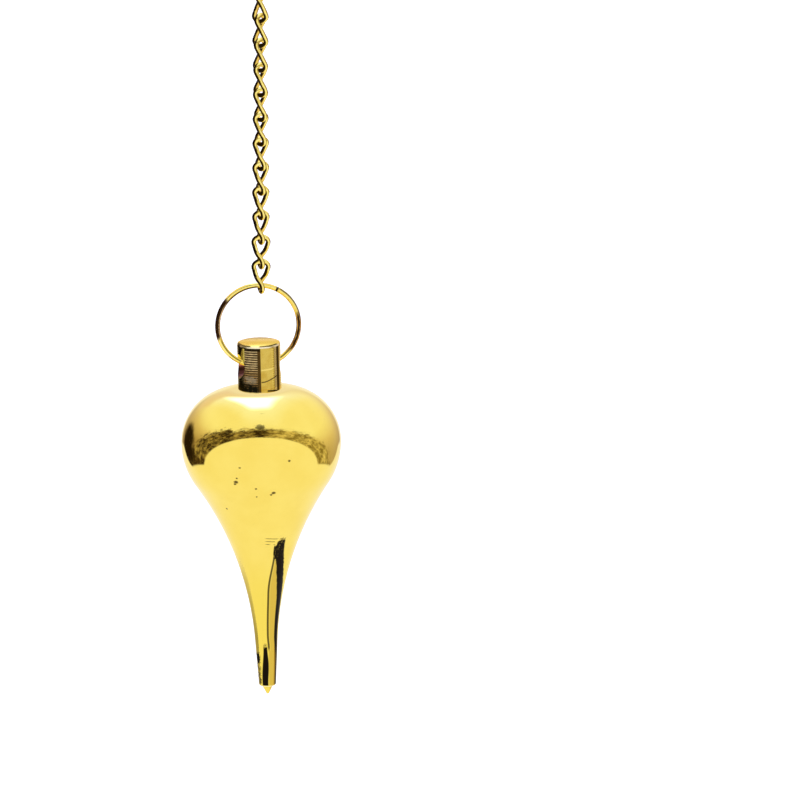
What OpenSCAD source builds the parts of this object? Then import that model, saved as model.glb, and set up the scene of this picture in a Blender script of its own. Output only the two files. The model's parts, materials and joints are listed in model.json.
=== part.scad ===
// Pendulum pendant. A turned brass bob hangs by its drilled cap from a jump ring, on a curb
// chain that ends at the top in a second jump ring, which also holds an open star charm.
// Millimetres, +Z up. The origin is the inside top of the upper jump ring, where it hangs.

/* [Bob] */
// Largest diameter of the bob
bob_d = 17; // [15:0.5:20]
// Height of the bob, from the cap's seat to the end face of the tail
bob_h = 32.5; // [30:0.5:40]
// Radius of the shoulder, from the flat seat to the widest line
shoulder_r = 5.7; // [5:0.1:6.4]
// Radius of the belly below the widest line
belly_r = 7.9; // [7:0.1:8.4]
// Radius of the hollow taper between belly and tail
taper_r = 34.3; // [28:0.1:42]
// Slope of the straight tail, on each side
tail_angle = 3.5; // [2:0.1:5]
// Diameter of the tail at its end face
tail_d = 1.8; // [1.7:0.1:2.6]
// Radius of the round edge of the end face
tail_edge_r = 0.25; // [0.1:0.05:0.3]
// Diameter of the small cone on the end face
nub_d = 1.15; // [0.8:0.05:1.2]
// Diameter of the small cone's blunt point
nub_tip_d = 0.25; // [0.1:0.05:0.5]
// Height of the small cone
nub_h = 0.9; // [0.4:0.1:1.5]

/* [Cap] */
// Diameter of the cap
cap_d = 4.6; // [4:0.1:5.2]
// Height of the cap above the bob
cap_h = 5.1; // [4.4:0.1:6]
// Depth of the cross bore's centre line below the top of the cap
bore_drop = 2.45; // [2:0.05:2.8]
// Diameter of the cross bore that the swing ring passes through
bore_d = 2.05; // [1.9:0.05:2.6]
// Bevel round the top edge of the cap
cap_bevel = 0.22; // [0.1:0.02:0.4]
// Diameter of the spigot under the cap
spigot_d = 2.4; // [1.6:0.1:3]
// Length of the spigot
spigot_h = 4; // [2:0.5:6]

/* [Jump rings] */
// Outer diameter of both jump rings
ring_d = 9.2; // [8.6:0.1:11]
// Diameter of the rings' wire
ring_wire = 0.53; // [0.45:0.01:0.6]
// Width of the slit where a ring closes
ring_slit = 0.14; // [0.1:0.02:0.3]
// Turn of the swing ring's slit from its top, towards +X
swing_slit_at = 27; // [15:1:60]
// Turn of the top ring's slit from its top, towards the back
top_slit_at = 35; // [0:1:60]
// Turn of the top ring about the plumb line, from square to the swing ring
top_ring_turn = 10; // [0:1:20]

/* [Hang] */
// Lean of the swing ring at rest, to -X
ring_lean = 5; // [0:0.5:8]
// Lean of the bob and cap at rest, to +X: it balances the ring's lean
bob_lean = 1.3; // [0:0.1:2.5]

/* [Chain] */
// Number of links
links = 73; // [20:1:80]
// Distance from one link to the next
link_pitch = 2.65; // [2.4:0.05:3.2]
// Diameter of the links' wire
link_wire = 0.52; // [0.4:0.02:0.56]
// Play on each side of the wire that passes through a link's bend
link_play = 0.16; // [0.15:0.01:0.3]
// How far the strands bow out from straight: 1 is straight
strand_bow = 1.12; // [1:0.02:1.3]
// How much wider the last links at the swing ring are
wide_by = 0.16; // [0:0.02:0.3]
// Number of wider links
wide_links = 2; // [0:1:4]
// Half turns that the whole chain makes as it hangs
half_turns = 4; // [0:1:5]
// How much of the turning lies towards the top: 1 is even
turn_ease = 1.35; // [1:0.05:1.4]

/* [Star charm] */
// Distance from the star's middle to its points
star_r = 7.6; // [6:0.1:9]
// Width of the star's rim
star_rim = 0.65; // [0.5:0.05:0.9]
// Thickness of the star and its loop
star_t = 1; // [0.8:0.1:1.4]
// Outer diameter of the loop
loop_d = 3.7; // [3.2:0.1:4.4]
// Diameter of the loop's hole
loop_hole_d = 1.9; // [1.7:0.1:2.4]
// Lean of the star to one side
star_lean = 4.5; // [0:0.5:8]

/* [Clearances] */
// Gap where one hanging piece bears on another
hang_gap = 0.14; // [0.12:0.01:0.2]
// Gap between cap and seat
seat_gap = 0.06; // [0.04:0.01:0.15]
// Gap round the spigot
spigot_gap = 0.05; // [0.04:0.01:0.15]

/* [Hidden] */
$fn = 96;
// How far a cut runs past the face it opens
over = 1;
ring_r = (ring_d - ring_wire) / 2;
top_ring_z = ring_wire - ring_d / 2;
top_ring_back = [-sin(top_ring_turn), cos(top_ring_turn)];

// Chain: from the top ring's lowest point to the swing ring's highest
wire_step = (ring_wire + link_wire) / 2 + hang_gap;
link_w = 3 * link_wire + 2 * link_play;
link_l = link_pitch + link_wire + hang_gap;
chain_top_z = top_ring_z - ring_r + wire_step;
chain_end_z = chain_top_z - (links - 1) * link_pitch - link_l;
chain_turn = 180 * half_turns + top_ring_turn;
bend_step = 45;
wire_sides = 6;

// Swing ring: its middle, as it leans on the last link's bend
swing_ring_at = [0, 0, chain_end_z] + (ring_r - wire_step) * [-sin(ring_lean), 0, -cos(ring_lean)];

// Cap and bob, as heights above the middle of the swing ring before they lean about it:
// the bore's ceiling bears on the ring's wire at the bore's mouths
mouth_slope = asin(cap_d / 2 / ring_r);
bore_z = -ring_r * cos(mouth_slope) + ring_wire / 2 / cos(mouth_slope) + hang_gap - bore_d / 2;
cap_base_z = bore_z + bore_drop - cap_h;
seat_z = cap_base_z - seat_gap;

// Star: it hangs on the top ring just in front of the chain
star_shift = (link_w + star_t) / 2 + hang_gap;
loop_far_slope = asin((star_shift + star_t / 2) / ring_r);
loop_z = top_ring_z - ring_r * cos(loop_far_slope) + ring_wire / 2 / cos(loop_far_slope)
    + hang_gap - loop_hole_d / 2;
loop_mid_r = (loop_d + loop_hole_d) / 4;
star_notch = cos(72) / cos(36);
star_edge_r = star_r * cos(72);

// Centres of the arcs in the bob's outline, as [radius, height above the seat]: the taper's arc
// touches the belly's arc and the straight side of the tail
shoulder_c = [bob_d / 2 - shoulder_r, -shoulder_r];
belly_c = [bob_d / 2 - belly_r, -shoulder_r];
tail_end = [tail_d / 2, -bob_h];
tail_down = [-sin(tail_angle), -cos(tail_angle)];
tail_out = [cos(tail_angle), -sin(tail_angle)];
taper_start = tail_end + taper_r * tail_out;
taper_offset = taper_start - belly_c;
taper_along = taper_offset * tail_down;
taper_rise = sqrt((belly_r + taper_r) ^ 2 - taper_offset * taper_offset + taper_along ^ 2) - taper_along;
taper_c = taper_start + taper_rise * tail_down;
belly_slope = atan2(taper_c.y - belly_c.y, taper_c.x - belly_c.x);
edge_c = tail_end + tail_edge_r * [tan(tail_angle) - 1 / cos(tail_angle), 1];
arc_steps = 16;

function arc(middle, r, from, to) = [for (i = [0 : arc_steps])
    let (a = from + (to - from) * i / arc_steps) middle + r * [cos(a), sin(a)]];

// From the flat seat down: shoulder, belly, hollow taper, round edge of the straight tail, small cone
bob_outline = concat(
    [[0, 0]],
    arc(shoulder_c, shoulder_r, 90, 0),
    arc(belly_c, belly_r, 0, belly_slope),
    arc(taper_c, taper_r, belly_slope + 180, 180 - tail_angle),
    arc(edge_c, tail_edge_r, -tail_angle, -90),
    [[nub_d / 2, -bob_h], [nub_tip_d / 2, -bob_h - nub_h], [0, -bob_h - nub_h]]);

// Places the cap and the bob on the swing ring
module on_swing_ring() {
    translate(swing_ring_at) rotate([0, -bob_lean, 0]) children();
}

module bob() {
    socket_h = spigot_h + seat_gap;
    color("#dcae3e") on_swing_ring() translate([0, 0, seat_z]) difference() {
        rotate_extrude() polygon(bob_outline);
        translate([0, 0, -socket_h]) cylinder(d = spigot_d + 2 * spigot_gap, h = socket_h + over);
    }
}

module cap() {
    color("#b98a2c") on_swing_ring() difference() {
        translate([0, 0, cap_base_z]) {
            cylinder(d = cap_d, h = cap_h - cap_bevel);
            translate([0, 0, cap_h - cap_bevel]) cylinder(d1 = cap_d, d2 = cap_d - 2 * cap_bevel, h = cap_bevel);
            translate([0, 0, -spigot_h]) cylinder(d = spigot_d, h = spigot_h);
        }
        translate([0, 0, bore_z]) rotate([0, 90, 0]) cylinder(d = bore_d, h = cap_d + 2 * over, center = true);
    }
}

// A round wire ring in the XZ plane, with its slit turned from the top towards +X
module jump_ring(slit_at) {
    slit_angle = 2 * asin(ring_slit / 2 / ring_r);
    rotate([90, 0, 0]) rotate([0, 0, 90 - slit_at + slit_angle / 2])
        rotate_extrude(angle = 360 - slit_angle) translate([ring_r, 0]) circle(d = ring_wire, $fn = 48);
}

module swing_ring() {
    color("#e3bf5a") translate(swing_ring_at) jump_ring(swing_slit_at);
}

module top_ring() {
    color("#e3bf5a") translate([0, 0, top_ring_z]) rotate([0, 0, 90 + top_ring_turn]) jump_ring(top_slit_at);
}

// Centre line of a link: round the upper bend, down one strand, round the lower bend, which is
// square to the upper one, and up the other strand
function link_line(bend_r) = let (mid = strand_bow * bend_r / 2) concat(
    [for (a = [-90 : bend_step : 90]) [bend_r * sin(a), 0, link_l / 2 - bend_r + bend_r * cos(a)]],
    [[mid, mid, 0]],
    [for (a = [90 : bend_step : 270]) [0, bend_r * sin(a), bend_r - link_l / 2 + bend_r * cos(a)]],
    [[-mid, -mid, 0]]);

// The way that the link's face looks at a height above its middle: it makes a quarter turn
function link_face(z) = z > 0 ? [0, 1, 0] : z < 0 ? [-1, 0, 0] : unit([-1, 1, 0]);

function unit(v) = v / norm(v);

module link(outer_w) {
    line = link_line((outer_w - link_wire) / 2);
    n = len(line);
    skin = [for (i = [0 : n - 1])
        let (
            along = unit(line[(i + 1) % n] - line[(i + n - 1) % n]),
            face = link_face(line[i].z),
            across = unit(face - (face * along) * along),
            out = cross(across, along))
        for (s = [0 : wire_sides - 1])
            let (a = 360 / wire_sides * s)
                line[i] + link_wire / 2 * (cos(a) * out + sin(a) * across)];
    faces = [for (i = [0 : n - 1], s = [0 : wire_sides - 1])
        let (
            here = i * wire_sides,
            next = (i + 1) % n * wire_sides,
            t = (s + 1) % wire_sides)
        for (f = [[here + s, next + s, here + t], [here + t, next + s, next + t]]) f];
    polyhedron(skin, faces);
}

// Turn of link number i about the plumb line: 0 at the swing ring, square to the top ring at the top
function link_turn(i) = chain_turn * ((links - 1 - i) / (links - 1)) ^ turn_ease;

module chain() {
    color("#e0b64c") for (i = [0 : links - 1])
        translate([0, 0, chain_top_z - link_l / 2 - i * link_pitch])
            rotate([0, 0, link_turn(i)])
                link(link_w + (i >= links - wide_links ? wide_by : 0));
}

function star_points(r) = [for (i = [0 : 9])
    let (q = i % 2 == 0 ? r : r * star_notch) [-q * sin(36 * i), q * cos(36 * i)]];

module star_charm() {
    color("#c99a35")
        translate([-star_shift * top_ring_back.x, -star_shift * top_ring_back.y, loop_z])
            rotate([90, -star_lean, 0]) linear_extrude(star_t, center = true)
                difference() {
                    union() {
                        circle(d = loop_d);
                        translate([0, -loop_mid_r - star_r]) polygon(star_points(star_r));
                    }
                    circle(d = loop_hole_d);
                    translate([0, -loop_mid_r - star_r])
                        polygon(star_points(star_r * (1 - star_rim / star_edge_r)));
                }
}

bob();
cap();
swing_ring();
chain();
star_charm();
top_ring();
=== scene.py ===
# Pendulum pendant: a turned bob on a curb chain, with a star charm at the top. Metres, +Z up.
# The sections follow the pendulum as it is put together, from the bob up to the top ring.
import json
import math

import bpy
from mathutils import Euler, Matrix, Vector


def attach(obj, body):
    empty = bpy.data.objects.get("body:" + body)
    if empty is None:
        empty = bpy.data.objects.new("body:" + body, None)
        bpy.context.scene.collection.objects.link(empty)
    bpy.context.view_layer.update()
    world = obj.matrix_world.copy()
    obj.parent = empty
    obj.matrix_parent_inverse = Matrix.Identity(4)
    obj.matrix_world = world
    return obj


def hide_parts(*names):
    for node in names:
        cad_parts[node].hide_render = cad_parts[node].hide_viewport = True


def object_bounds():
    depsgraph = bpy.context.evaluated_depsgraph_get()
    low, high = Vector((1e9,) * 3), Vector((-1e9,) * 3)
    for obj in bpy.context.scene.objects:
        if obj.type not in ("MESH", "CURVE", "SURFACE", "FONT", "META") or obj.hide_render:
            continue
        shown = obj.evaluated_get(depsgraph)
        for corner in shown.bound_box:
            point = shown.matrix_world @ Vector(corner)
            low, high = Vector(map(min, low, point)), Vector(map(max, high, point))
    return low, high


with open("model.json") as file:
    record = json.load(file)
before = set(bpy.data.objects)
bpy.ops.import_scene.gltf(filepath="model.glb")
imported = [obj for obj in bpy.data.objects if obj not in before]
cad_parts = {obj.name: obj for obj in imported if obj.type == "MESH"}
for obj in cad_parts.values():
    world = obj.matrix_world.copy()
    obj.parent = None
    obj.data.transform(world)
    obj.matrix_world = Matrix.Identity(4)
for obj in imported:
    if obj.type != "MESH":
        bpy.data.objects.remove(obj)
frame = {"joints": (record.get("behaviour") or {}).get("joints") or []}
cad_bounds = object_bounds()

# The studio: a long lens a little above the pendulum and a little to its left, over pale paper.
# The light is a white tent with a bright top at the back and a dark gap round the front sheet,
# which the polished metal mirrors.
mm = 0.001
picture_side = 800
bore_in_picture = (259.2, 364.2)
pixels_a_metre = 9440
lens_length = 500
sensor_width = 36
view_turn = math.radians(-8)
view_rise = math.radians(13.5)
paper_drop = 25 * mm
paper_size = 8
paper_white = (0.93, 0.93, 0.92, 1)
paper_shade = 0.985
paper_glow = 0.35
backdrop_light = (1.03, 1.03, 1.03, 1)

rightwards = Vector((math.cos(view_turn), math.sin(view_turn), 0))
away = Vector((-math.sin(view_turn), math.cos(view_turn), 0))
upwards = Vector((0, 0, 1))


def joint_at(name):
    """The point on a joint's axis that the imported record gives."""
    return Vector(next(joint["pos_m"] for joint in frame["joints"] if joint["name"] == name))


def towards(azimuth, elevation):
    """Unit vector: azimuth 0 points at the camera and 90 to its right, both angles in degrees."""
    a, e = math.radians(azimuth), math.radians(elevation)
    return (rightwards * math.sin(a) - away * math.cos(a)) * math.cos(e) + upwards * math.sin(e)


bore = joint_at("bob_swing")
backwards = towards(0, math.degrees(view_rise))
picture_up = backwards.cross(rightwards)
off_centre = [(picture_side / 2 - place) / pixels_a_metre for place in bore_in_picture]
aim = bore + rightwards * off_centre[0] - picture_up * off_centre[1]
distance = lens_length / sensor_width * picture_side / pixels_a_metre

bpy.ops.object.camera_add()
camera = bpy.context.object
camera.data.lens = lens_length
camera.data.sensor_width = sensor_width
camera.data.clip_start = 0.01
turn_of_camera = Matrix((rightwards, picture_up, backwards)).transposed().to_4x4()
camera.matrix_world = Matrix.Translation(aim + backwards * distance) @ turn_of_camera
bpy.context.scene.camera = camera
bpy.context.scene.view_settings.view_transform = "Standard"


class Value:
    """A socket of a node tree. Arithmetic on it adds the Math nodes that work it out."""

    def __init__(self, tree, socket=None):
        self.tree = tree
        self.socket = socket

    def node(self, kind, settings=None, inputs=None, output=0):
        """Any other node: its settings first, then the values or links of its sockets."""
        added = self.tree.nodes.new(kind)
        for name, setting in (settings or {}).items():
            if name == "stops":
                stops = added.color_ramp.elements
                while len(stops) < len(setting):
                    stops.new(1)
                for stop, (place, colour) in zip(stops, setting):
                    stop.position = place
                    stop.color = colour
            else:
                setattr(added, name, setting)
        for name, given in (inputs or {}).items():
            if isinstance(given, Value):
                self.tree.links.new(given.socket, added.inputs[name])
            else:
                added.inputs[name].default_value = given
        return Value(self.tree, added.outputs[output] if added.outputs else None)

    def math(self, operation, *others):
        inputs = dict(enumerate((self, *others)))
        return self.node("ShaderNodeMath", {"operation": operation}, inputs)

    def __add__(self, other):
        return self.math("ADD", other)

    def __radd__(self, other):
        return self.math("ADD", other)

    def __sub__(self, other):
        return self.math("SUBTRACT", other)

    def __rsub__(self, other):
        return self.node("ShaderNodeMath", {"operation": "SUBTRACT"}, {0: other, 1: self})

    def __mul__(self, other):
        return self.math("MULTIPLY", other)

    def __rmul__(self, other):
        return self.math("MULTIPLY", other)

    def step(self, low, high):
        """0 at low and 1 at high, with a smooth rise between them."""
        return self.node("ShaderNodeMapRange", {"interpolation_type": "SMOOTHSTEP"},
                         {"Value": self, "From Min": low, "From Max": high})

    def between(self, low, high, soft):
        """1 from low to high, with edges that are soft wide."""
        risen = self.step(low - soft / 2, low + soft / 2)
        return risen * self.step(high + soft / 2, high - soft / 2)

    def within(self, outer, inner):
        """On a cosine: 1 for angles of up to inner degrees, falling to 0 at outer degrees."""
        return self.step(math.cos(math.radians(outer)), math.cos(math.radians(inner)))

    def blend(self, first, second):
        """The first number or colour where this is 0 and the second where it is 1."""
        return self.node("ShaderNodeMix", {"data_type": "RGBA"}, {0: self, 6: first, 7: second}, 2)

    def dot(self, direction):
        return self.node("ShaderNodeVectorMath", {"operation": "DOT_PRODUCT"},
                         {0: self, 1: direction}, "Value")

    def noise(self, scale, detail=3, roughness=0.5):
        return self.node("ShaderNodeTexNoise", {},
                         {"Vector": self, "Scale": scale, "Detail": detail, "Roughness": roughness})


tent = bpy.data.worlds.new("light_tent")
bpy.context.scene.world = tent
tent.use_nodes = True
tent.node_tree.nodes.clear()
tree = Value(tent.node_tree)
ray = tree.node("ShaderNodeTexCoord", output="Generated")
rise = ray.dot(upwards).math("ARCSINE") * math.degrees(1)
side = ray.dot(rightwards)

# The front sheet fills half the tent, tipped towards the camera. Its gathered edge is the gap.
sheet_pole = towards(180, 42.5)
sheet_edge = (-0.24, -0.2)
past_sheet = ray.dot(sheet_pole)
folds = tree.node("ShaderNodeVectorMath", {"operation": "MULTIPLY_ADD"},
                  {0: past_sheet, 1: sheet_pole * 1.6, 2: ray})
left_end = side.step(-0.5, -0.8)
gathers = (folds.noise(7, 7, 0.78) - 0.5) * (side.step(0, -0.5) * 0.35 + 0.5)
in_gap = past_sheet + (folds.noise(16, 3, 0.6) - 0.5) * 0.1 + left_end * 0.03
in_gap = in_gap.step(*sheet_edge) * (past_sheet + gathers - left_end * 0.1).step(0.18, 0.05)
fold_light = (folds.noise(7.5, 8, 0.8) * 0.7 + ray.noise(3.2, 2) * 0.3).step(0.45, 0.61)
gap_left = fold_light.blend((0.03, 0.017, 0.008, 1), (0.5, 0.41, 0.25, 1))
gap_right = fold_light.blend((0.24, 0.19, 0.07, 1), (0.85, 0.75, 0.55, 1))
gap_light = side.step(0, 0.55).blend(gap_left, gap_right)

# Beyond the gap is the roof, darker to the left, with the knob that holds it up.
roof_light = 0.42 + rise.step(-20, 32) * 0.6 + side.step(0.35, 0.8) * rise.step(40, -5) * 0.12
roof_light = roof_light * (1 - side.step(-0.1, -0.85) * rise.step(45, -12) * 0.42)
roof_colour = tree.node("ShaderNodeValToRGB", {"stops": [
    (0.2, (0.2, 0.13, 0.1, 1)), (0.45, (0.46, 0.36, 0.27, 1)), (0.75, (0.77, 0.68, 0.62, 1)),
    (1, (1.0, 1.02, 1.05, 1))]}, {0: roof_light})
beyond = in_gap.blend(roof_colour, gap_light)
knob = (ray.dot(towards(-3, 58)) + (ray.noise(26, 4, 0.75) - 0.5) * 0.03).within(6.3, 5)
beyond = (knob * 0.92).blend(beyond, (0.03, 0.02, 0.008, 1))

# The dark doorway is behind on the left, with a shadow on the sheet in front of it.
doorway = (ray.dot(towards(-130, -7)) + (ray.noise(5, 4, 0.7) - 0.5) * 0.07).within(21, 11)
doorstep = rise.step(-12, -21) * side.step(-0.5, -0.72) * fold_light.step(1.2, 0.3)
beyond = (doorstep * 0.85).blend(beyond, (0.05, 0.028, 0.012, 1))
beyond = doorway.blend(beyond, (0.02, 0.012, 0.006, 1))

# Everything else is white: the front sheet, the table up to its horizon, and a backdrop behind.
horizon = (side * side).step(0.5, 0.25) * 12 - 24.5
over_table = (rise - horizon).step(-1, 1) * past_sheet.step(*sheet_edge)
surroundings = over_table.blend((1, 1, 1, 1), beyond)
backdrop = ray.dot(towards(180, -8)).within(26, 17)
surroundings = backdrop.blend(surroundings, (1, 1, 1, 1))

# The lamp is a long soft box at the upper back, with a bluish halo on the cloth round it and a
# paler patch of cloth low on its left.
lamp_across = ray.dot(towards(96, 0)).math("ABSOLUTE") * 3
lamp_up = ray.dot(towards(6, 37)).math("ABSOLUTE") * 1.25
lamp_off = (lamp_across.math("POWER", 4) + lamp_up.math("POWER", 4)).math("POWER", 0.25)
behind = ray.dot(towards(-175, 50)).step(0.2, 0.4)
halo = lamp_off.step(1.4, 0.35) * behind * rise.step(16, 38)
surroundings = halo.blend(surroundings, (1.02, 1.16, 1.8, 1))
patch = side.between(-0.5, -0.05, 0.12) * rise.between(14, 29, 8) * ray.dot(away).step(0.5, 0.7)
surroundings = (patch * 0.75).blend(surroundings, (0.86, 0.73, 0.8, 1))
lit = (lamp_off.step(0.6, 0.22) * behind).blend(surroundings, (2.8, 3.3, 6.6, 1))
seen = tree.node("ShaderNodeLightPath", output="Is Camera Ray")
sky = tree.node("ShaderNodeBackground", {}, {"Color": seen.blend(lit, backdrop_light)})
tree.node("ShaderNodeOutputWorld", {}, {"Surface": sky})

# The floor: a large sheet of matt white paper, which shines a little so that it stays pale.
bpy.ops.object.select_all(action="DESELECT")
bpy.ops.mesh.primitive_plane_add(size=paper_size, location=(0, 0, cad_bounds[0][2] - paper_drop))
paper = bpy.context.object
paper.name = "paper"
paper.visible_glossy = False
paper_stock = bpy.data.materials.new("matt_white_paper")
paper_stock.use_nodes = True
paper_stock.node_tree.nodes.clear()
tree = Value(paper_stock.node_tree)
grain = tree.node("ShaderNodeTexCoord", output="Object").noise(900, 4) - 0.5
paper_dark = [paper_shade * part for part in paper_white]
matt = tree.node("ShaderNodeBsdfDiffuse", {}, {
    "Color": grain.step(-0.5, 0.5).blend(paper_white, paper_dark)})
shine = tree.node("ShaderNodeEmission", {}, {"Color": (1, 0.95, 0.9, 1), "Strength": paper_glow})
lit_paper = tree.node("ShaderNodeAddShader", {}, {0: matt, 1: shine})
tree.node("ShaderNodeOutputMaterial", {}, {"Surface": lit_paper})
paper.data.materials.append(paper_stock)

# The bob: one solid turning in yellow gold-plated brass, polished all over. It has a round
# shoulder, a full belly, a hollow taper that runs into a slim straight tail and a small cone.
# The cap is glued into a socket in its flat seat.
bob_d = 17 * mm
bob_h = 32.5 * mm
shoulder_r = 5.7 * mm
belly_r = 7.9 * mm
taper_r = 34.3 * mm
tail_angle = math.radians(3.5)
tail_d = 1.8 * mm
tail_edge_r = 0.25 * mm
cone_d = 1.15 * mm
cone_tip_d = 0.25 * mm
cone_h = 0.9 * mm
socket_d = 2.5 * mm
socket_h = 4.06 * mm
bob_lean = math.radians(1.3)
seat_below_bore = 2.71 * mm
bob_gold = (0.99, 0.77, 0.165, 1)
soft_gold = (0.965, 0.735, 0.142, 1)
tail_gold = (0.955, 0.73, 0.11, 1)
tail_ochre = (0.69, 0.46, 0.06, 1)
grey_brown = (0.06, 0.038, 0.008, 1)
black_brown = (0.012, 0.008, 0.004, 1)
pit_brown = (0.06, 0.035, 0.008, 1)
edge_shine = (1, 0.9, 0.5, 1)


def turned(start, strokes, steps=160):
    """Draws half an outline in the XZ plane, then spins it round the upright axis. A stroke is
    a point that a straight line runs to, or an arc: its middle, the degrees that it turns
    through, anticlockwise, and its number of steps."""
    bpy.ops.object.select_all(action="DESELECT")
    bpy.ops.mesh.primitive_plane_add(size=mm, enter_editmode=True, location=(0, 0, 0))
    bpy.ops.mesh.merge(type="CENTER")
    pen = Vector(start)
    bpy.ops.transform.translate(value=(pen.x, 0, pen.y))
    for stroke in strokes:
        if len(stroke) == 2:
            line = Vector(stroke) - pen
            bpy.ops.mesh.extrude_region_move(TRANSFORM_OT_translate={"value": (line.x, 0, line.y)})
            pen = Vector(stroke)
        else:
            middle, turn, arc_steps = stroke
            bpy.ops.mesh.spin(steps=arc_steps, angle=math.radians(turn), axis=(0, 1, 0),
                              center=(middle[0], 0, middle[1]))
            spoke = pen - Vector(middle)
            spoke.rotate(Matrix.Rotation(math.radians(turn), 2))
            pen = Vector(middle) + spoke
    bpy.ops.mesh.select_all(action="SELECT")
    bpy.ops.mesh.spin(steps=steps, angle=math.radians(360), center=(0, 0, 0), axis=(0, 0, 1))
    bpy.ops.mesh.select_all(action="SELECT")
    bpy.ops.mesh.remove_doubles(threshold=0.0005 * mm)
    bpy.ops.mesh.normals_make_consistent(inside=False)
    bpy.ops.object.mode_set(mode="OBJECT")
    return bpy.context.object


def hang_on_bore(piece, height):
    """Sets the piece's origin this far above the bore's middle on the axis of the leaning bob."""
    piece.matrix_world = (Matrix.Translation(bore) @ Matrix.Rotation(-bob_lean, 4, "Y")
                          @ Matrix.Translation((0, 0, height)))
    bpy.ops.object.transform_apply()


# Middles of the outline's arcs: the taper touches the belly and the straight side of the tail.
shoulder_middle = Vector((bob_d / 2 - shoulder_r, -shoulder_r))
belly_middle = Vector((bob_d / 2 - belly_r, -shoulder_r))
tail_end = Vector((tail_d / 2, -bob_h))
down_tail = Vector((-math.sin(tail_angle), -math.cos(tail_angle)))
out_of_tail = Vector((math.cos(tail_angle), -math.sin(tail_angle)))
taper_start = tail_end + taper_r * out_of_tail
offset = taper_start - belly_middle
along = offset.dot(down_tail)
rise_of_taper = math.sqrt((belly_r + taper_r) ** 2 - offset.length_squared + along ** 2) - along
taper_middle = taper_start + rise_of_taper * down_tail
belly_to_taper = taper_middle - belly_middle
belly_slope = math.degrees(math.atan2(belly_to_taper.y, belly_to_taper.x))
edge_middle = tail_end + tail_edge_r * Vector((math.tan(tail_angle) - 1 / math.cos(tail_angle), 1))
edge_start = edge_middle + tail_edge_r * out_of_tail

bob = turned((0, -socket_h), [
    (socket_d / 2, -socket_h),
    (socket_d / 2, 0),
    (shoulder_middle.x, 0),
    (shoulder_middle, -90, 32),
    (belly_middle, belly_slope, 28),
    (taper_middle, -math.degrees(tail_angle) - belly_slope, 48),
    edge_start,
    (edge_middle, -90 + math.degrees(tail_angle), 6),
    (cone_d / 2, -bob_h),
    (cone_tip_d / 2, -bob_h - cone_h),
    (0, -bob_h - cone_h)])
bob.name = "turned_bob"
hang_on_bore(bob, -seat_below_bore)
bpy.ops.object.shade_smooth_by_angle(angle=math.radians(25))


def round_the_bob(tree):
    """Where a point is, in millimetres from the middle of the seat along the leaning axis, with
    +X to the camera's right and -Y towards it. Returns the point, its height above the seat,
    its distance from the axis and its angle round it, from the camera and to its right."""
    lean = Euler((0, bob_lean, -view_turn))
    seat = bore - Matrix.Rotation(-bob_lean, 3, "Y") @ Vector((0, 0, seat_below_bore))
    seat.rotate(lean)
    place = tree.node("ShaderNodeTexCoord", output="Object")
    point = tree.node("ShaderNodeMapping", {}, {
        "Vector": place, "Location": seat * (-1 / mm), "Rotation": lean, "Scale": (1 / mm,) * 3})
    across, depth, height = [
        tree.node("ShaderNodeSeparateXYZ", {}, {0: point}, part) for part in "XYZ"]
    radius = (across * across + depth * depth).math("SQRT")
    angle = across.math("ARCTAN2", depth * -1) * math.degrees(1)
    return point, height, radius, angle


def new_metal(name):
    metal = bpy.data.materials.new(name)
    metal.use_nodes = True
    metal.node_tree.nodes.clear()
    return metal, Value(metal.node_tree)


def polish(tree, colour, roughness, bump, depth, grazing=(1, 1, 1, 1)):
    """The metal's shader. bump is a height from 0 to 1 that stands for depth in metres, and
    grazing is the tint of what it mirrors at a grazing angle."""
    normal = tree.node("ShaderNodeBump", {}, {"Height": bump, "Distance": depth})
    shader = tree.node("ShaderNodeBsdfPrincipled", {}, {
        "Base Color": colour, "Metallic": 1, "Roughness": roughness, "Normal": normal,
        "Specular Tint": grazing})
    tree.node("ShaderNodeOutputMaterial", {}, {"Surface": shader})


# Pits in the plating: the angle round the bob, the height and the size in millimetres.
pits = [(-19, -8.2, 0.33), (-20, -8.45, 0.2), (-18, -7.75, 0.17), (10, -9.53, 0.3),
        (8, -9.75, 0.17), (-4, -8.95, 0.17), (21, -5.94, 0.2), (-15, -6.53, 0.15),
        (-38, -11.79, 0.17), (-4, -9.96, 0.14), (118, -8.6, 0.24), (-140, -6.2, 0.2),
        (165, -12.4, 0.18)]

gold, tree = new_metal("gold_on_turned_brass")
point, height, radius, angle = round_the_bob(tree)


def beside(place):
    """How far round the bob a point is from this angle, in millimetres, rising to the right."""
    return (angle - place) * radius * math.radians(1)


cloud = point.noise(0.35, 3)
specks = point.noise(9, 2, 0.6)
pitted = specks.step(0.735, 0.77) * cloud.step(0.45, 0.6)
for pit_angle, pit_height, pit_size in pits:
    off_side = beside(pit_angle)
    off_height = height - pit_height
    off = (off_side * off_side + off_height * off_height * 2).math("SQRT") + (specks - 0.5) * 0.2
    pitted = pitted.math("MAXIMUM", off.step(pit_size, pit_size * 0.4))
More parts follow.
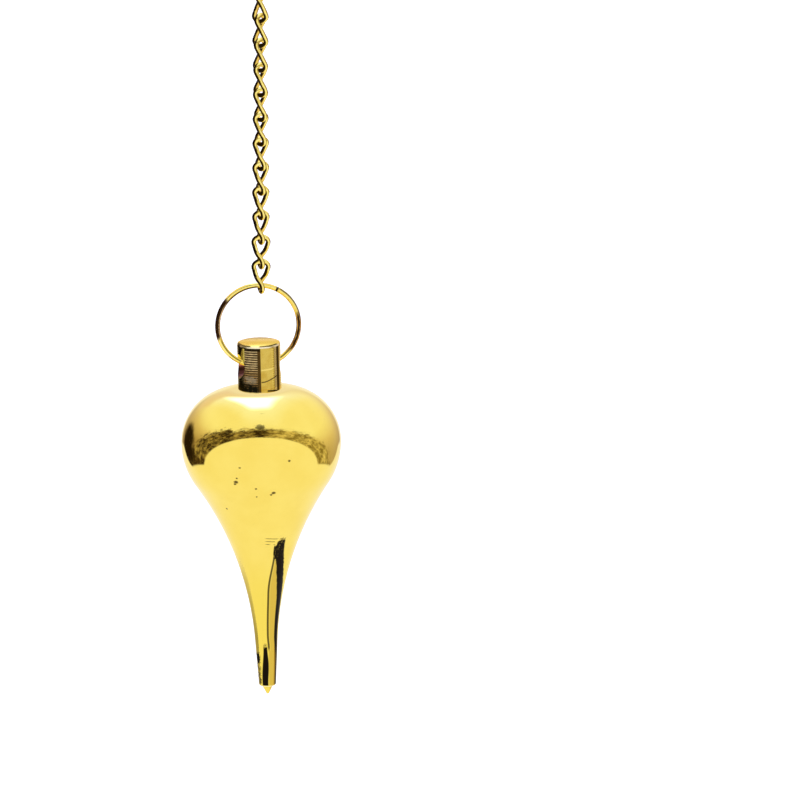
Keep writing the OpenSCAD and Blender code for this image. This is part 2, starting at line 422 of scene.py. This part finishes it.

# A painted reflection: the long dark streak down the right of the tail, up to the end face. Its
# edges are angles round the bob, given at each height. On its left runs a thin painted dark line,
# with ochre between the two.
end_face = height.step(-32.36, -32.3)
ragged = (point.noise(3.2, 4, 0.7) - 0.5) * 1.6
jag = height + ragged
left_edge = 17 + jag.step(-17.2, -18.6) * 9 + jag.step(-18, -23.5) * 15 + jag.step(-16.4, -15.6) * 8
left_edge = left_edge + height.step(-26.8, -29.5) * 14
right_edge = 36 + jag.step(-15.6, -24) * 34 + height.step(-26, -29) * 8
from_left = beside(left_edge)
holes = (specks.step(0.68, 0.58) + (1 - height.step(-19, -16) * 0.5)).math("MINIMUM", 1)
dark_streak_reflection = from_left.step(-0.04, 0.08) * beside(right_edge).step(0.04, -0.08)
dark_streak_reflection = dark_streak_reflection * jag.step(-15.3, -15.8) * end_face * holes
line_angle = 20 - height.step(-17.6, -22) * 9 - height.step(-22, -26) * 2
from_line = beside(line_angle + height.step(-26.6, -28.4) * 5)
thin_line = from_line.between(-0.12, 0.1, 0.06) * height.step(-17, -17.8) * height.step(-28.6, -28)
ochre = from_line.step(0.05, 0.25) * from_left.step(0.1, -0.05) * height.step(-16.4, -18.6)
low_ochre = angle.between(12, 66, 8) * height.step(-28, -28.6) * height.step(-32.4, -32.2)
ochre = ochre.math("MAXIMUM", low_ochre)

# Painted reflections: the short dark streak in the middle above the end face, and the dots and the
# blot on its left. Fine scratches where the taper gets thin.
tip_left = -17 - height.step(-28, -32) * 18
tip_right = 5 + height.step(-28, -30) * 7 - height.step(-30.4, -32) * 4
tip_streak_reflection = (beside(tip_left).step(-0.03, 0.07) * beside(tip_right).step(0.03, -0.07)
             * jag.step(-27.6, -28.2) * end_face)
dots = (point.noise(5, 2, 0.6).step(0.47, 0.54) * angle.between(-84, -38, 10)
        * height.between(-32.2, -28.7, 0.4))
blot_side = beside(-57)
blot_rise = (height + 29.35) * 0.5 + (specks - 0.5) * 0.3
blot = (blot_side * blot_side + blot_rise * blot_rise).math("SQRT").step(0.34, 0.24)
scratches = ((height + angle * 0.008 + ragged * 0.03) * 18).math("SINE").step(0.7, 0.9)
scratches = scratches * height.between(-16.3, -15.2, 0.2) * angle.between(4, 28, 6)
scratches = scratches * point.noise(1.1, 3).step(0.38, 0.46)
# Painted dark reflections in the streaks and the blot. The grey marks are painted reflections in
# the thin line and the dots, with the real scratches.
painted_dark_reflections = dark_streak_reflection.math("MAXIMUM", tip_streak_reflection).math("MAXIMUM", blot)
grey_reflections_and_scratches = thin_line.math("MAXIMUM", dots).math("MAXIMUM", scratches) * 0.9
colour = cloud.step(0.3, 0.7).blend(bob_gold, soft_gold)
colour = height.step(-16, -24).blend(colour, tail_gold)
colour = (ochre * 0.9).blend(colour, tail_ochre)
colour = grey_reflections_and_scratches.blend(colour, grey_brown)
colour = painted_dark_reflections.blend(colour, black_brown)
colour = (pitted * 0.9).blend(colour, pit_brown)
# A painted highlight along the edge of the end face.
colour = height.between(-32.5, -32.38, 0.05).blend(colour, edge_shine)

# The left of the tail is less polished, so that no dark line is mirrored along its edge.
unbuffed = height.step(-16, -21) * angle.between(-120, -48, 14)
roughness = 0.045 + cloud * 0.03 + painted_dark_reflections * 0.3 + pitted * 0.3 + unbuffed * 0.4
polish(tree, colour, roughness, 1 - pitted, 0.02 * mm)
bob.data.materials.append(gold)
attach(bob, "pendulum_bob")
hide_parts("bob")

# The cap: a small turned brass barrel with fine tool lines round it and a bevelled top. Its
# bore runs from side to side for the ring, and its spigot is glued into the bob. Its strips and
# marks are painted where the photographed cap mirrors what stands round it.
cap_d = 4.6 * mm
cap_h = 5.1 * mm
bore_drop = 2.45 * mm
bore_d = 2.05 * mm
cap_bevel = 0.22 * mm
mouth_flare = 0.3 * mm
mouth_depth = 1.2 * mm
drill_turn = math.radians(8)
spigot_d = 2.4 * mm
spigot_h = 4 * mm
tool_pitch = 0.25 * mm
tool_depth = 0.006 * mm
tool_lines = 18
first_line = 0.12 * mm
foot_bevel = 0.06 * mm

cap_r = cap_d / 2
groove_r = cap_r - tool_depth
cap_base = bore_drop - cap_h
strokes = [(spigot_d / 2, -spigot_h), (spigot_d / 2, 0),
           (cap_r - foot_bevel, 0), (cap_r, foot_bevel)]
for line in range(tool_lines):
    start = first_line + line * tool_pitch
    strokes += [(cap_r, start + 0.4 * tool_pitch), (groove_r, start + 0.58 * tool_pitch),
                (groove_r, start + 0.8 * tool_pitch), (cap_r, start + 0.98 * tool_pitch)]
strokes += [(cap_r, cap_h - cap_bevel), (cap_r - cap_bevel * 0.3, cap_h - cap_bevel * 0.25),
            (cap_r - cap_bevel, cap_h), (0, cap_h)]
cap = turned((0, -spigot_h), strokes)
cap.name = "brass_cap"
cap.visible_glossy = False
drill_r = bore_d / 2 + mouth_flare * (1 + cap_r / mouth_depth)
drill = turned((0, -cap_d), [
    (drill_r, -cap_d),
    (bore_d / 2, mouth_depth - cap_r),
    (bore_d / 2, cap_r - mouth_depth),
    (drill_r, cap_d),
    (0, cap_d)], 72)
drill.matrix_world = (Matrix.Translation((0, 0, -cap_base)) @ Matrix.Rotation(drill_turn, 4, "Z")
                      @ Matrix.Rotation(math.radians(90), 4, "Y"))
bpy.ops.object.transform_apply()


def combine(piece, other, operation):
    """Cuts another shape out of a piece, or welds it on, and clears the other shape away."""
    bpy.ops.object.select_all(action="DESELECT")
    piece.select_set(True)
    bpy.context.view_layer.objects.active = piece
    change = piece.modifiers.new("change", "BOOLEAN")
    change.operation = operation
    change.object = other
    change.solver = "EXACT"
    bpy.ops.object.modifier_apply(modifier=change.name)
    bpy.data.objects.remove(other)


combine(cap, drill, "DIFFERENCE")
hang_on_bore(cap, cap_base)
bpy.ops.object.shade_smooth_by_angle(angle=math.radians(30))

brass, tree = new_metal("half_tarnished_brass")
point, height, radius, angle = round_the_bob(tree)
cloud = point.noise(0.8, 4, 0.6)
blotch = point.noise(2.4, 5, 0.7)
on_wall = radius.step(2.15, 2.25)
on_top = height.step(5.05, 5.12)
in_bore = radius.step(2.28, 2.25) * height.between(1.4, 4, 0.1)
wavy = height + (point.noise(1.2, 3) - 0.5) * 0.12
groove = (wavy * (2 * math.pi * mm / tool_pitch)).math("SINE").step(-0.25, 0.55)
colour = cloud.step(0.35, 0.7).blend((0.7, 0.5, 0.1, 1), (0.6, 0.39, 0.055, 1))

# Painted dark reflections between the tool lines on the left, a painted shadow further left, a
# greyish patch, and a dark strip of painted reflection.
below_bevel = height.step(4.95, 4.75)
ridges = height.step(1.9, 3.1).blend((0.33, 0.19, 0.06, 1), (0.66, 0.48, 0.22, 1))
lines = groove.blend((0.05, 0.026, 0.006, 1), ridges)
left_front = angle.step(-49, -44) * angle.step(-1, -4)
back_left = angle.step(-150, -120) * angle.step(-84, -100) * 0.8
dark_line_reflections = left_front.math("MAXIMUM", back_left) * below_bevel
colour = dark_line_reflections.blend(colour, lines)
shadow = angle.between(-104, -46, 6) * height.step(4.95, 4.8)
# Low down, the painted shadow breaks into grey blotches.
grey_blotches = blotch.step(0.4, 0.6).blend((0.03, 0.022, 0.012, 1), (0.2, 0.18, 0.11, 1))
shadow_colour = height.step(3, 2.2).blend((0.05, 0.022, 0.008, 1), grey_blotches)
colour = shadow.blend(colour, shadow_colour)
grey_patch = height.between(1.05, 1.85, 0.4) * angle.between(-46, -8, 10) * blotch.step(0.35, 0.5)
colour = (grey_patch * 0.8).blend(colour, (0.36, 0.28, 0.17, 1))
dark_strip = angle.between(-3.5, 5, 1.5) * below_bevel
colour = dark_strip.blend(colour, (0.085, 0.045, 0.01, 1))

# Painted reflections in light and dark strips down the right: from, to and soft edge in degrees,
# how strong, and the colour.
strips = [(37, 45, 3, 0.8, (0.78, 0.56, 0.11, 1)), (46, 53, 3, 0.8, (0.98, 0.82, 0.5, 1)),
          (54, 66, 3, 1, (0.045, 0.028, 0.008, 1)), (69, 110, 5, 1, (0.93, 0.8, 0.4, 1))]
for strip_from, strip_to, soft, strength, strip_colour in strips:
    strip = angle.between(strip_from, strip_to, soft) * strength
    colour = strip.blend(colour, strip_colour)

# Over them run a painted highlight line and a painted dark curve. Painted dark reflections make it
# black at the lower left and under the bevel.
bright_line = (height + angle.step(60, -10) * 0.1).between(2.58, 2.72, 0.08)
colour = (bright_line * angle.between(6, 46, 5) * 0.8).blend(colour, (0.95, 0.74, 0.2, 1))
low_curve = 1.26 + angle.step(8, 62) * 0.52
dark_curve = (height - low_curve).between(-0.07, 0.07, 0.06) * angle.between(6, 54, 3)
colour = (dark_curve * 0.9).blend(colour, (0.1, 0.06, 0.012, 1))
low_left_dark_reflection = angle.step(-80, -74) * angle.step(1, -3) * height.step(1.4, 0.7)
low_left_dark_reflection = (low_left_dark_reflection + blotch.step(0.35, 0.6) * 0.7 - 0.35).math("MINIMUM", 1).math("MAXIMUM", 0)
low_left_dark_reflection = low_left_dark_reflection * angle.step(4, 1)
colour = (low_left_dark_reflection * on_wall * angle.step(-84, -78)).blend(colour, (0.012, 0.011, 0.006, 1))
under_bevel = height.between(4.62, 4.93, 0.06) * angle.step(6, 3) * angle.step(-88, -80)
colour = (under_bevel * 0.95).blend(colour, (0.01, 0.006, 0.002, 1))

# A painted glint above the bore, with a slanted left edge.
glint_left = -50 - (4.9 - height) * 9.5
glint = (angle - glint_left).step(0, 4) * angle.step(-40, -43) * height.between(3.4, 4.84, 0.1)
colour = (glint * on_wall * 0.95).blend(colour, (1, 0.8, 0.16, 1))

# A painted highlight on the bevel, the top with a painted dark reflection round its rim, a painted
# highlight round the foot, painted shade in a crescent at the foot on the right, and painted light
# and shade in the bore.
colour = height.step(4.9, 4.96).blend(colour, (0.95, 0.85, 0.6, 1))
dark_rim = radius.between(2.04, 2.25, 0.04) * height.step(5.05, 5.08)
dark_rim = dark_rim * angle.between(-88, -22, 6).math("MAXIMUM", angle.between(2, 64, 6))
colour = on_top.blend(colour, (0.86, 0.6, 0.1, 1))
colour = (dark_rim * 0.95).blend(colour, (0.04, 0.02, 0.004, 1))
foot = (wavy - 0.02).step(0.16, 0.08) * angle.between(-90, 20, 6)
colour = (foot * on_wall * 0.85).blend(colour, (0.9, 0.76, 0.42, 1))
crescent = (height - angle.step(66, 22) * 0.16).between(0.02, 0.2, 0.06) * angle.between(22, 64, 4)
colour = (crescent * on_wall).blend(colour, (0.03, 0.016, 0.004, 1))
bore_light_and_shade = height.step(3.15, 3.35).blend((0.07, 0.02, 0.012, 1), (1, 0.8, 0.2, 1))
bore_light_and_shade = height.between(2.45, 2.85, 0.3).blend(bore_light_and_shade, (0.56, 0.19, 0.1, 1))
colour = in_bore.blend(colour, bore_light_and_shade)
roughness = 0.1 + blotch * 0.12 + dark_line_reflections * 0.12 + low_left_dark_reflection * 0.2
polish(tree, colour, roughness, groove, 0.004 * mm, (1, 0.84, 0.55, 1))
cap.data.materials.append(brass)
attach(cap, "pendulum_bob")
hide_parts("cap")

# The swing ring: a plated brass jump ring, bent round from hard wire and closed by hand, so
# that its two sawn ends don't quite meet. It hangs in the last link and leans a little.
ring_d = 9.2 * mm
ring_wire = 0.53 * mm
ring_slit = 0.14 * mm
ring_lean = math.radians(5)
cut_slant = math.radians(15)
slit_from_top = math.radians(27)
wire_sides = 24
ring_steps = 150
hang_gap = 0.14 * mm
link_wire = 0.52 * mm

ring_r = (ring_d - ring_wire) / 2
wire_step = (ring_wire + link_wire) / 2 + hang_gap
chain_foot = joint_at("ring_swing")


def jump_ring(name, slit_at):
    """A ring of round wire in the XZ plane, with its slit turned from the top towards +X. The
    saw went through the wire at a slant."""
    slit = 2 * math.asin(ring_slit / 2 / ring_r)
    bpy.ops.object.select_all(action="DESELECT")
    bpy.ops.mesh.primitive_circle_add(vertices=wire_sides, radius=ring_wire / 2,
                                      location=(0, 0, 0), enter_editmode=True)
    bpy.ops.transform.resize(value=(1, 1 / math.cos(cut_slant), 1), center_override=(0, 0, 0))
    bpy.ops.transform.rotate(value=-cut_slant, orient_axis="X", center_override=(0, 0, 0))
    bpy.ops.transform.translate(value=(ring_r, 0, 0))
    bpy.ops.mesh.spin(steps=ring_steps, angle=2 * math.pi - slit, center=(0, 0, 0),
                      axis=(0, 1, 0))
    bpy.ops.mesh.select_all(action="SELECT")
    bpy.ops.mesh.fill_holes(sides=0)
    bpy.ops.mesh.select_all(action="SELECT")
    bpy.ops.mesh.normals_make_consistent(inside=False)
    bpy.ops.object.mode_set(mode="OBJECT")
    ring = bpy.context.object
    ring.name = name
    inner = ring.data.attributes.new("inner_side", "FLOAT", "POINT")
    inner.data.foreach_set("value", [(ring_r - math.hypot(v.co.x, v.co.z)) / (ring_wire / 2)
                                     for v in ring.data.vertices])
    ring.rotation_euler = (0, -(math.pi / 2 - slit_at + slit / 2), 0)
    bpy.ops.object.transform_apply()
    from_slit = ring.data.attributes.new("from_the_slit", "FLOAT", "POINT")
    turns = [math.degrees(math.atan2(v.co.x, v.co.z) - slit_at) for v in ring.data.vertices]
    from_slit.data.foreach_set("value", [(turn + 180) % 360 - 180 for turn in turns])
    bpy.ops.object.shade_smooth_by_angle(angle=math.radians(40))
    return ring


swing_ring = jump_ring("swing_jump_ring", slit_from_top)
swing_ring.visible_glossy = False
up_the_ring = Vector((math.sin(ring_lean), 0, math.cos(ring_lean)))
swing_ring.location = chain_foot - (ring_r - wire_step) * up_the_ring
bpy.ops.object.transform_apply()

ring_gold, tree = new_metal("gold_on_ring_wire")
place = tree.node("ShaderNodeTexCoord", output="Object")
inner = tree.node("ShaderNodeAttribute", {"attribute_name": "inner_side"}, {}, "Fac")
from_slit = tree.node("ShaderNodeAttribute", {"attribute_name": "from_the_slit"}, {}, "Fac")
cloud = place.noise(700, 3)
scuffs = place.noise(2600, 3, 0.6)
# Painted shade in and round the slit, so that it reads dark.
slit_shade = from_slit.between(-1.5, 1.5, 0.5)
round_it = from_slit + (cloud - 0.5) * 30
colour = cloud.step(0.35, 0.65).blend((0.99, 0.77, 0.15, 1), (0.93, 0.66, 0.1, 1))
colour = (scuffs.step(0.6, 0.72) * 0.5).blend(colour, (0.4, 0.24, 0.04, 1))
# A painted highlight along the outer half of the wire.
colour = (inner.between(-0.65, -0.1, 0.3) * 0.6).blend(colour, (1, 0.9, 0.38, 1))

# Dark stretches along the wire, in degrees from the slit, painted where the photographed ring
# mirrors dark things.
streaks = inner + (scuffs - 0.5) * 0.8
on_left = round_it.between(-130, -79, 12)
on_right = round_it.between(46, 105, 12)
colour = (on_left * 0.8).blend(colour, (0.62, 0.42, 0.27, 1))
colour = (on_right * 0.8).blend(colour, (0.6, 0.3, 0.08, 1))
dark = on_left * streaks.step(0.45, 0.2)
dark = dark.math("MAXIMUM", on_right * streaks.between(-0.4, 0.55, 0.25))
dark = dark.math("MAXIMUM", round_it.between(-88, -30, 14) * inner.between(0.2, 0.8, 0.2))
thin_outside = round_it.between(3, 55, 14) * inner.step(-0.3, -0.6)
olive = round_it.between(-180, -136, 8) + round_it.between(105, 160, 8)
olive = thin_outside.math("MAXIMUM", olive * inner.between(0.15, 0.6, 0.2))
colour = (olive * 0.85).blend(colour, (0.12, 0.08, 0.012, 1))
colour = dark.blend(colour, (0.03, 0.011, 0.003, 1))
colour = slit_shade.blend(colour, (0.012, 0.006, 0.002, 1))
polish(tree, colour, 0.06 + scuffs * 0.06 + slit_shade * 0.3, scuffs, 0.002 * mm, (0.7, 0.45, 0.2, 1))
swing_ring.data.materials.append(ring_gold)
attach(swing_ring, "ring")
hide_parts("swing_ring")

# The chain: seventy-three links of gold-plated round wire. Each link is bent so that its lower
# bend is square to its upper one, soldered shut and threaded through the next.
links = 73
link_pitch = 2.65 * mm
link_play = 0.16 * mm
strand_bow = 1.4
strand_twist = 0.17
strand_reach = 0.34
bend_twist = 0.3
quarter_circle = 0.5523
wide_by = 0.16 * mm
wide_links = 2
half_turns = 4
top_ring_turn = math.radians(10)
chain_turn = math.pi * half_turns + top_ring_turn
turn_ease = 1.35
full_shade_turn = math.radians(55)
least_shade = 0.5
link_w = 3 * link_wire + 2 * link_play
link_l = link_pitch + link_wire + hang_gap
top_ring_z = ring_wire - ring_d / 2
chain_top_z = top_ring_z - ring_r + wire_step


def bent_link(outer_width):
    """A link with its middle at the origin: a round curve through eight points, given a wire."""
    r = (outer_width - link_wire) / 2
    bend_z = link_l / 2 - r
    mid = strand_bow * r / 2
    quarter = quarter_circle * r
    lean = bend_twist * quarter
    twist = strand_twist * r
    reach = strand_reach * bend_z
    knots = [
        (Vector((0, 0, bend_z + r)), Vector((quarter, 0, 0))),
        (Vector((r, 0, bend_z)), Vector((-lean, lean, -quarter))),
        (Vector((mid, mid, 0)), Vector((-twist, twist, -reach))),
        (Vector((0, r, -bend_z)), Vector((-lean, lean, -quarter))),
        (Vector((0, 0, -bend_z - r)), Vector((0, -quarter, 0))),
        (Vector((0, -r, -bend_z)), Vector((-lean, lean, quarter))),
        (Vector((-mid, -mid, 0)), Vector((-twist, twist, reach))),
        (Vector((-r, 0, bend_z)), Vector((-lean, lean, quarter)))]
    bpy.ops.object.select_all(action="DESELECT")
    bpy.ops.curve.primitive_bezier_circle_add(radius=r, location=(0, 0, 0), enter_editmode=True)
    bpy.ops.curve.select_all(action="SELECT")
    bpy.ops.curve.subdivide()
    bpy.ops.object.mode_set(mode="OBJECT")
    wire = bpy.context.object
    wire.data.dimensions = "3D"
    wire.data.resolution_u = 6
    wire.data.bevel_depth = link_wire / 2
    wire.data.bevel_resolution = 4
    for knot, (at, handle) in zip(wire.data.splines[0].bezier_points, knots):
        knot.handle_left_type = knot.handle_right_type = "FREE"
        knot.co = at
        knot.handle_left = at - handle
        knot.handle_right = at + handle
    bpy.ops.object.convert(target="MESH")
    bpy.ops.object.shade_smooth()
    link = bpy.context.object
    inner = link.data.attributes.new("inner_side", "FLOAT", "POINT")
    inwards = []
    for vertex in link.data.vertices:
        middle = Vector((0, 0, max(-bend_z, min(vertex.co.z, bend_z))))
        inwards.append(-vertex.normal.dot((vertex.co - middle).normalized()))
    inner.data.foreach_set("value", inwards)
    return link


plain_link = bent_link(link_w)
wide_link = bent_link(link_w + wide_by)
copies = []
for number in range(links):
    model = wide_link if number >= links - wide_links else plain_link
    link = bpy.data.objects.new("link", model.data.copy())
    bpy.context.collection.objects.link(link)
    link.location = (0, 0, chain_top_z - link_l / 2 - number * link_pitch)
    share = (links - 1 - number) / (links - 1)
    turn = chain_turn * share ** turn_ease
    link.rotation_euler = (0, 0, turn)
    # The sides that face left, and not backwards, are painted as dark as the photographed links
    # mirror them: fully on the lowest eleven links, and with the least shade from the sixteenth up.
    shade = max(least_shade, min(1, 2 - turn / full_shade_turn))
    facing = Matrix.Rotation(turn, 3, "Z")
    normals = [facing @ vertex.normal for vertex in link.data.vertices]
    fronts = [max(0, min(1, 1.5 - 2.5 * normal.y)) for normal in normals]
    dark_side_paint = link.data.attributes.new("dull_side", "FLOAT", "POINT")
    shades = [-normal.x * front * shade for normal, front in zip(normals, fronts)]
    dark_side_paint.data.foreach_set("value", shades)
    copies.append(link)
for model in (plain_link, wide_link):
    bpy.data.objects.remove(model)
bpy.ops.object.select_all(action="DESELECT")
for link in copies:
    link.select_set(True)
bpy.context.view_layer.objects.active = copies[0]
bpy.ops.object.join()
chain = bpy.context.object
bpy.ops.object.transform_apply()
chain.name = "curb_chain"
chain.visible_glossy = False

chain_gold, tree = new_metal("gold_on_chain_wire")
inner = tree.node("ShaderNodeAttribute", {"attribute_name": "inner_side"}, {}, "Fac")
scuffs = tree.node("ShaderNodeTexCoord", output="Object").noise(3200, 3, 0.6)
dark_side_paint = tree.node("ShaderNodeAttribute", {"attribute_name": "dull_side"}, {}, "Fac")
across = (dark_side_paint + (scuffs - 0.5) * 0.4) * 0.5 + 0.5
# The ramp paints reflections: black on the sides that face left, dark brown on those that face
# right, and a painted highlight between them.
colour = tree.node("ShaderNodeValToRGB", {"stops": [
    (0.04, (0.12, 0.06, 0.01, 1)), (0.12, (0.5, 0.33, 0.06, 1)), (0.26, (0.99, 0.76, 0.15, 1)),
    (0.42, (1, 0.9, 0.36, 1)), (0.54, (0.97, 0.68, 0.1, 1)),
    (0.62, (0.015, 0.008, 0.002, 1))]}, {0: across})
# Painted shade, a deeper orange, on the insides of the links, where they face each other.
inside = inner.step(0.2, 0.6) * across.step(0.64, 0.56)
colour = (inside * 0.7).blend(colour, (0.75, 0.42, 0.05, 1))
polish(tree, colour, 0.06 + scuffs * 0.08, scuffs, 0.003 * mm, (0.8, 0.6, 0.3, 1))
chain.data.materials.append(chain_gold)
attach(chain, "chain_and_charm")
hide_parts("chain")

# The star: an open five-pointed charm, cast flat with a loop at its top point. Tumbling has just
# broken its edges, and it is plated a browner gold. It hangs on the top ring in front of the chain.
star_r = 7.6 * mm
star_rim = 0.65 * mm
star_t = 1 * mm
star_edge_soft = 0.037 * mm
loop_d = 3.7 * mm
loop_hole_d = 1.9 * mm
loop_steps = 64
star_lean = math.radians(4.5)
star_points = 5
top_ring_back = Vector((-math.sin(top_ring_turn), math.cos(top_ring_turn), 0))


def select_points(piece, wanted):
    """Selects the points in edit mode for which wanted(place) is true, and no others."""
    bpy.ops.mesh.select_all(action="DESELECT")
    bpy.ops.object.mode_set(mode="OBJECT")
    for vertex in piece.data.vertices:
        vertex.select = wanted(vertex.co)
    bpy.ops.object.mode_set(mode="EDIT")


def flat_band(name, corners, outer_r, inner_share, waist):
    """A flat band between two outlines round the origin in the XY plane, star_t thick. Every
    other corner of the outlines is drawn in to the share waist."""
    bpy.ops.object.select_all(action="DESELECT")
    bpy.ops.mesh.primitive_circle_add(vertices=corners, radius=outer_r, location=(0, 0, 0),
                                      enter_editmode=True)
    band = bpy.context.object
    band.name = name
    if waist < 1:
        corner = 2 * math.pi / corners
        select_points(band, lambda place: round(math.atan2(place.x, place.y) / corner) % 2 == 1)
        bpy.ops.transform.resize(value=(waist,) * 3, center_override=(0, 0, 0))
    bpy.ops.mesh.select_all(action="SELECT")
    bpy.ops.mesh.duplicate()
    bpy.ops.transform.resize(value=(inner_share,) * 3, center_override=(0, 0, 0))
    bpy.ops.mesh.select_all(action="SELECT")
    bpy.ops.mesh.bridge_edge_loops()
    bpy.ops.mesh.extrude_region_move(TRANSFORM_OT_translate={"value": (0, 0, star_t)})
    bpy.ops.mesh.select_all(action="SELECT")
    bpy.ops.transform.translate(value=(0, 0, -star_t / 2))
    bpy.ops.mesh.normals_make_consistent(inside=False)
    bpy.ops.object.mode_set(mode="OBJECT")
    return band


loop_mid_r = (loop_d + loop_hole_d) / 4
loop = flat_band("loop", loop_steps, loop_d / 2, loop_hole_d / loop_d, 1)
side_off_middle = star_r * math.cos(2 * math.pi / star_points)
waist_share = math.cos(2 * math.pi / star_points) / math.cos(math.pi / star_points)
star = flat_band("open_star", 2 * star_points, star_r, 1 - star_rim / side_off_middle, waist_share)
star.location = (0, -loop_mid_r - star_r, 0)
bpy.ops.object.transform_apply()
combine(star, loop, "UNION")
soften = star.modifiers.new("soft edges", "BEVEL")
soften.width = star_edge_soft
soften.segments = 3
soften.limit_method = "ANGLE"
soften.angle_limit = math.radians(30)
bpy.ops.object.modifier_apply(modifier=soften.name)
rim = star.data.attributes.new("rim_side", "FLOAT", "POINT")
rim.data.foreach_set("value", [1 - abs(v.normal.z) for v in star.data.vertices])
star_shift = (link_w + star_t) / 2 + hang_gap
loop_far_slope = math.asin((star_shift + star_t / 2) / ring_r)
wire_top = top_ring_z + (ring_wire / 2 / math.cos(loop_far_slope)
                         - ring_r * math.cos(loop_far_slope))
loop_z = wire_top + hang_gap - loop_hole_d / 2
loop_at = Vector((0, 0, loop_z)) - star_shift * top_ring_back
star.matrix_world = (Matrix.Translation(loop_at) @ Matrix.Rotation(-star_lean, 4, "Y")
                     @ Matrix.Rotation(math.radians(90), 4, "X"))
bpy.ops.object.transform_apply()
bpy.ops.object.shade_smooth_by_angle(angle=math.radians(30))

star_gold, tree = new_metal("brown_gold_casting")
place = tree.node("ShaderNodeTexCoord", output="Object")
cloud = place.noise(260, 4, 0.6)
skin = place.noise(1500, 4, 0.65)
rim = tree.node("ShaderNodeAttribute", {"attribute_name": "rim_side"}, {}, "Fac")
colour = cloud.step(0.35, 0.65).blend((0.78, 0.48, 0.08, 1), (0.5, 0.27, 0.035, 1))
colour = (skin.step(0.52, 0.68) * 0.7).blend(colour, (0.2, 0.09, 0.015, 1))
colour = ((rim + (skin - 0.5) * 0.8).step(0.05, 0.5) * 0.8).blend(colour, (0.13, 0.055, 0.01, 1))
polish(tree, colour, 0.16 + skin * 0.2, skin, 0.02 * mm)
star.data.materials.append(star_gold)
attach(star, "chain_and_charm")
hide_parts("star_charm")

# The top ring: a second jump ring of the same plated wire, hung almost edge-on to the front. It
# carries the first link and the star, and it is where a hook or a finger takes the pendulum.
top_slit_from_top = math.radians(35)
top_ring = jump_ring("top_jump_ring", top_slit_from_top)
top_ring.location = (0, 0, top_ring_z)
top_ring.rotation_euler = (0, 0, math.radians(90) + top_ring_turn)
bpy.ops.object.transform_apply()
top_ring.data.materials.append(ring_gold)
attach(top_ring, "chain_and_charm")
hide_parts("top_ring")

bpy.ops.object.select_all(action="DESELECT")
bpy.context.view_layer.update()
